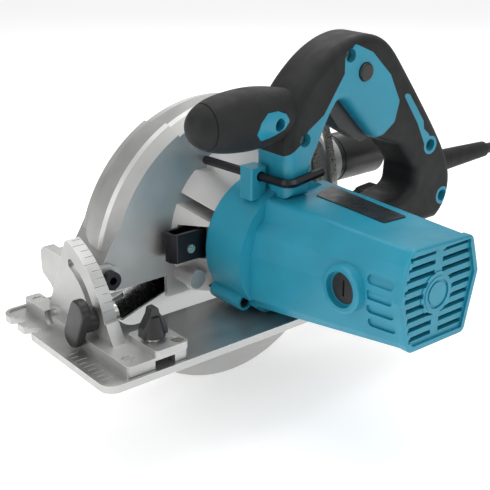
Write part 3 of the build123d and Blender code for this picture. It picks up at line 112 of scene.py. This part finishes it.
# ---------------------------------------------------------------- materials
class Nodes:
    """Short calls for a material's node tree."""

    def __init__(self, name):
        self.material = bpy.data.materials.new(name)
        self.material.use_nodes = True
        self.tree = self.material.node_tree
        self.shader = self.tree.nodes["Principled BSDF"]
        self.place = self.tree.nodes.new("ShaderNodeTexCoord").outputs["Object"]

    def link(self, source, target):
        self.tree.links.new(source, target)

    def set(self, **values):
        for name, value in values.items():
            self.shader.inputs[name.replace("_", " ")].default_value = value
        return self

    def noise(self, scale, detail=3.0, stretch=None):
        node = self.tree.nodes.new("ShaderNodeTexNoise")
        node.inputs["Scale"].default_value = scale
        node.inputs["Detail"].default_value = detail
        self.link(self.stretched(stretch) if stretch else self.place, node.inputs["Vector"])
        return node.outputs["Fac"]

    def stretched(self, scale):
        node = self.tree.nodes.new("ShaderNodeMapping")
        node.inputs["Scale"].default_value = scale
        self.link(self.place, node.inputs["Vector"])
        return node.outputs["Vector"]

    def cells(self, scale, randomness=1.0):
        node = self.tree.nodes.new("ShaderNodeTexVoronoi")
        node.inputs["Scale"].default_value = scale
        node.inputs["Randomness"].default_value = randomness
        self.link(self.place, node.inputs["Vector"])
        return node.outputs["Distance"]

    def ramp(self, source, stops):
        node = self.tree.nodes.new("ShaderNodeValToRGB")
        ramp = node.color_ramp
        while len(ramp.elements) < len(stops):
            ramp.elements.new(0.5)
        for element, (position, colour) in zip(ramp.elements, stops):
            element.position = position
            element.color = (*colour, 1)
        self.link(source, node.inputs["Fac"])
        return node.outputs["Color"]

    def spread(self, source, low, high, from_low=0.3, from_high=0.7):
        """The source's range from_low to from_high, stretched to low to high."""
        node = self.tree.nodes.new("ShaderNodeMapRange")
        limits = {"From Min": from_low, "From Max": from_high, "To Min": low, "To Max": high}
        for name, value in limits.items():
            node.inputs[name].default_value = value
        self.link(source, node.inputs["Value"])
        return node.outputs["Result"]

    def mixed(self, factor, first, second):
        """A blend of two colours, each a plain colour or another node's output."""
        node = self.tree.nodes.new("ShaderNodeMix")
        node.data_type = "RGBA"
        self.link(factor, node.inputs["Factor"])
        for socket, value in (("A", first), ("B", second)):
            target = [i for i in node.inputs if i.name == socket and i.type == "RGBA"][0]
            if isinstance(value, (tuple, list)):
                target.default_value = (*value, 1)
            else:
                self.link(value, target)
        return [o for o in node.outputs if o.type == "RGBA"][0]

    def painted_edge_highlight(self, width):
        """Near 1 where the surface turns sharply within the width: the mask for a painted highlight along
        edges.
        """
        bevel = self.tree.nodes.new("ShaderNodeBevel")
        bevel.inputs["Radius"].default_value = width
        bevel.samples = 4
        geometry = self.tree.nodes.new("ShaderNodeNewGeometry")
        dot = self.tree.nodes.new("ShaderNodeVectorMath")
        dot.operation = "DOT_PRODUCT"
        self.link(bevel.outputs["Normal"], dot.inputs[0])
        self.link(geometry.outputs["Normal"], dot.inputs[1])
        return self.spread(dot.outputs["Value"], 1.0, 0.0, 0.80, 0.995)

    def bump(self, height, strength, distance):
        """Adds relief on top of any relief that the shader has already."""
        node = self.tree.nodes.new("ShaderNodeBump")
        node.inputs["Strength"].default_value = strength
        node.inputs["Distance"].default_value = distance
        self.link(height, node.inputs["Height"])
        previous = self.shader.inputs["Normal"].links
        if previous:
            self.link(previous[0].from_socket, node.inputs["Normal"])
        self.link(node.outputs["Normal"], self.shader.inputs["Normal"])
        return self

    def colour(self, source):
        self.link(source, self.shader.inputs["Base Color"])
        return self

    def rough(self, source):
        self.link(source, self.shader.inputs["Roughness"])
        return self


def shade(colour, factor):
    return tuple(c * factor for c in colour)


def moulded_plastic(name, colour, low=0.34, high=0.46, grain=2600, depth=0.00004, edge_highlight=0.25):
    """Moulded plastic: fine spark-eroded grain, faint cloudiness, slightly paler edges from a painted edge
    highlight.
    """
    m = Nodes(name).set(Metallic=0.0, Specular_IOR_Level=0.5)
    cloud = m.noise(28, 4)
    body = m.ramp(cloud, [(0.30, shade(colour, 0.90)), (0.70, shade(colour, 1.08))])
    # Painted highlight: sharp edges are lightened, standing in for light caught by rounded bevels.
    edge = m.spread(m.painted_edge_highlight(0.0007), 0.0, edge_highlight, 0.0, 1.0)
    m.colour(m.mixed(edge, body, tuple(min(1, c * 1.25 + 0.03) for c in colour)))
    m.rough(m.spread(m.noise(90, 3), low, high))
    m.bump(m.noise(grain, 2), 0.25, depth)
    return m.material


def soft_grip(name):
    """Over-moulded rubber: fine leather-like cells under a dull sheen."""
    m = Nodes(name).set(Metallic=0.0, Specular_IOR_Level=0.3, Sheen_Weight=0.04, Sheen_Roughness=0.5)
    dust = m.noise(45, 5)
    body = m.ramp(dust, [(0.25, (0.008, 0.0083, 0.0087)), (0.75, (0.017, 0.0175, 0.018))])
    # Painted highlight: sharp edges of the rubber are lightened, standing in for light caught by rounded
    # bevels.
    edge = m.spread(m.painted_edge_highlight(0.0012), 0.0, 0.35, 0.0, 1.0)
    m.colour(m.mixed(edge, body, (0.032, 0.033, 0.034)))
    m.rough(m.spread(m.noise(120, 3), 0.52, 0.68))
    m.bump(m.cells(1400), 0.35, 0.00006)
    m.bump(m.noise(3200, 2), 0.2, 0.00003)
    return m.material


def cast_metal(name, colour, low, high, grain=900, depth=0.00005, edge_highlight=0.6, streak=None):
    """Cast or rolled light metal: grain, cloudy polish and brighter edges from a painted edge highlight."""
    m = Nodes(name).set(Metallic=0.88)
    cloud = m.noise(22, 5, streak)
    body = m.ramp(cloud, [(0.28, shade(colour, 0.86)), (0.72, shade(colour, 1.05))])
    # Painted highlight: sharp edges are mixed towards near-white, standing in for light caught by rounded
    # bevels.
    edge = m.spread(m.painted_edge_highlight(0.0006), 0.0, edge_highlight, 0.0, 1.0)
    m.colour(m.mixed(edge, body, (0.93, 0.93, 0.92)))
    m.rough(m.spread(m.noise(60, 4, streak), low, high))
    m.bump(m.noise(grain, 3, streak), 0.18, depth)
    return m.material


def turned_steel(name, colour, low, high, tint=None):
    """Machined steel: fine rings or lines, faint stains."""
    m = Nodes(name).set(Metallic=1.0)
    lines = m.noise(700, 2, (1.0, 9.0, 1.0))
    stain = m.noise(40, 5)
    m.colour(m.mixed(m.spread(stain, 0.0, 0.5), colour, tint or shade(colour, 0.75)))
    m.rough(m.spread(lines, low, high))
    m.bump(lines, 0.15, 0.00003)
    return m.material


def stacked_laminations(name):
    m = Nodes(name).set(Metallic=1.0, Roughness=0.5)
    layers = m.noise(900, 1, (0.02, 1.0, 0.02))
    m.colour(m.ramp(layers, [(0.35, (0.16, 0.16, 0.17)), (0.6, (0.42, 0.42, 0.43))]))
    m.bump(layers, 0.5, 0.00012)
    return m.material


def wound_copper(name):
    m = Nodes(name).set(Metallic=1.0)
    strands = m.noise(1300, 2, (1.0, 0.15, 1.0))
    m.colour(m.ramp(strands, [(0.3, (0.28, 0.08, 0.03)), (0.65, (0.72, 0.30, 0.12))]))
    m.rough(m.spread(strands, 0.25, 0.5))
    m.bump(strands, 0.6, 0.0002)
    return m.material


TEAL = (0.014, 0.265, 0.385)
teal = moulded_plastic("teal_plastic", TEAL)
black_plastic = moulded_plastic("black_plastic", (0.018, 0.018, 0.019), 0.3, 0.42)
rubber = soft_grip("black_rubber")
cord_rubber = moulded_plastic("cord_rubber", (0.014, 0.014, 0.015), 0.42, 0.55, 1800, 0.00005)
cast = cast_metal("die_cast_bright", (0.56, 0.56, 0.55), 0.40, 0.54)
cast_dull = cast_metal("die_cast_painted", (0.60, 0.60, 0.59), 0.50, 0.64, 700)
ROLLED_STREAK = (0.25, 3.0, 1.0)
sheet_metal = cast_metal("stamped_aluminium", (0.54, 0.54, 0.53), 0.28, 0.42, 420, 0.00003, 0.7,
                         ROLLED_STREAK)
steel = turned_steel("bright_steel", (0.60, 0.60, 0.60), 0.16, 0.32)
zinc = turned_steel("zinc_steel", (0.70, 0.70, 0.66), 0.22, 0.38, (0.60, 0.58, 0.48))
black_steel = turned_steel("black_steel", (0.045, 0.045, 0.05), 0.28, 0.42)
carbide = turned_steel("carbide", (0.30, 0.30, 0.31), 0.25, 0.45)
laminations = stacked_laminations("laminations")
copper = wound_copper("copper_wire")
commutator_copper = turned_steel("commutator_copper", (0.78, 0.40, 0.22), 0.2, 0.4, (0.4, 0.17, 0.08))
brass = turned_steel("brass_tube", (0.80, 0.60, 0.26), 0.2, 0.35)
carbon = moulded_plastic("carbon", (0.035, 0.035, 0.038), 0.5, 0.7)


def rating_plate(name):
    """A blank rating plate: cloudy black print with a faint grain."""
    m = Nodes(name).set(Metallic=0.0)
    cloud = m.noise(60, 4)
    m.colour(m.ramp(cloud, [(0.3, (0.015, 0.015, 0.017)), (0.7, (0.03, 0.03, 0.033))]))
    m.rough(m.spread(m.noise(150, 3), 0.22, 0.36))
    m.bump(m.noise(500, 2), 0.1, 0.00003)
    return m.material


label = rating_plate("label")

MATERIALS = {"teal_plastic": teal, "black_plastic": black_plastic, "black_rubber": rubber,
             "cord_rubber": cord_rubber, "die_cast_bright": cast, "die_cast_painted": cast_dull,
             "stamped_aluminium": sheet_metal,
             "bright_steel": steel, "zinc_steel": zinc, "black_steel": black_steel, "carbide": carbide,
             "laminations": laminations, "copper_wire": copper, "commutator_copper": commutator_copper,
             "brass_tube": brass, "carbon": carbon, "label": label}

for part in frame["record"]["subparts"]:
    mesh = NODES[part["node"]].data
    mesh.materials.clear()
    mesh.materials.append(MATERIALS[part["material_slot"]])


# ---------------------------------------------------------------- helpers for new pieces
def finish_piece(obj, material, body):
    obj.data.materials.append(material)
    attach(obj, body)
    return obj


def mesh_object(name, bm):
    mesh = bpy.data.meshes.new(name)
    bm.to_mesh(mesh)
    bm.free()
    obj = bpy.data.objects.new(name, mesh)
    scene.collection.objects.link(obj)
    return obj


def floor():
    bm = bmesh.new()
    bmesh.ops.create_grid(bm, x_segments=2, y_segments=2, size=FLOOR_HALF)
    bmesh.ops.translate(bm, verts=bm.verts, vec=(0, 0, FLOOR_Z))
    obj = mesh_object("floor", bm)
    m = Nodes("floor_white").set(Metallic=0.0, Specular_IOR_Level=0.2)
    m.colour(m.ramp(m.noise(3, 2), [(0.3, (0.90, 0.90, 0.90)), (0.7, (0.92, 0.92, 0.92))]))
    m.rough(m.spread(m.noise(20, 2), 0.7, 0.8))
    m.set(Emission_Color=(1, 1, 1, 1), Emission_Strength=FLOOR_GLOW)
    obj.data.materials.append(m.material)


floor()

# ---------------------------------------------------------------- cord
CORD_R = 0.004
EXIT = Vector((-0.212, 0.043, 0.0775))
COIL_X, COIL_Y = -0.355, 0.114
COIL_OUTER, COIL_INNER = 0.049, 0.0409
TURN_RISE = 0.0081
CORD_FLOOR = STAND_Z + CORD_R + FLOOR_GAP
TAIL_END = Vector((COIL_X - COIL_OUTER, 0.042, CORD_FLOOR))
# The coil's turns in order, as column and layer: the saw's end is on top, the plug's end on the floor.
TURN_PLACES = [(1, 3), (0, 3), (0, 2), (1, 2), (1, 1), (0, 1), (0, 0), (1, 0)]
COIL_TURNS = 7.5
POINTS_PER_TURN = 24
SHIFT_SPAN, SHIFT_LEAD = math.radians(100), math.radians(38)


def smooth(value):
    value = max(0.0, min(1.0, value))
    return value * value * (3 - 2 * value)


def turn_place(angle):
    """Column and layer of the coil's line at an angle counted from its start: each turn shifts once."""
    column, layer = TURN_PLACES[0]
    for shift in range(1, len(TURN_PLACES)):
        start = 2 * math.pi * shift - SHIFT_LEAD * (shift - 1) - SHIFT_SPAN / 2
        share = smooth((angle - start) / SHIFT_SPAN)
        (c0, l0), (c1, l1) = TURN_PLACES[shift - 1], TURN_PLACES[shift]
        column += share * (c1 - c0)
        layer += share * (l1 - l0)
    return column, layer


def cord_points():
    """The lead's own points down to the top of the coil, the coil's turns, then the tail along the floor."""
    lead_x, top = COIL_X + COIL_OUTER, CORD_FLOOR + 3 * TURN_RISE
    points = [EXIT, EXIT + Vector((-0.046, 0, 0)), EXIT + Vector((-0.080, 0, -0.034)),
              Vector((lead_x + 0.001, EXIT.y, 0.020)), Vector((lead_x, EXIT.y, -0.004)),
              Vector((lead_x - 0.001, EXIT.y + 0.011, -0.024)), Vector((lead_x, EXIT.y + 0.030, -0.037)),
              Vector((lead_x, COIL_Y - 0.018, top))]
    for step in range(int(COIL_TURNS * POINTS_PER_TURN)):
        angle = 2 * math.pi * step / POINTS_PER_TURN
        column, layer = turn_place(angle)
        radius = COIL_INNER + column * (COIL_OUTER - COIL_INNER)
        points.append(Vector((COIL_X + radius * math.cos(angle), COIL_Y + radius * math.sin(angle),
                              CORD_FLOOR + layer * TURN_RISE)))
    points += [Vector((TAIL_END.x, COIL_Y - 0.006, CORD_FLOOR)),
               Vector((TAIL_END.x, COIL_Y - 0.04, CORD_FLOOR)), TAIL_END]
    return points


def supply_cord():
    """The whole lead as one smooth tube, from the strain relief to the plug."""
    data = bpy.data.curves.new("supply_cord", "CURVE")
    data.dimensions = "3D"
    data.bevel_depth = CORD_R
    data.bevel_resolution = 3
    data.resolution_u = 4
    data.use_fill_caps = True
    spline = data.splines.new("NURBS")
    points = cord_points()
    spline.points.add(len(points) - 1)
    for place, point in zip(points, spline.points):
        point.co = (*place, 1.0)
    spline.order_u = 3
    spline.use_endpoint_u = True
    obj = bpy.data.objects.new("supply_cord", data)
    scene.collection.objects.link(obj)
    finish_piece(obj, cord_rubber, "saw_head")
    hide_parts("power_cord", "cord_coil")


supply_cord()
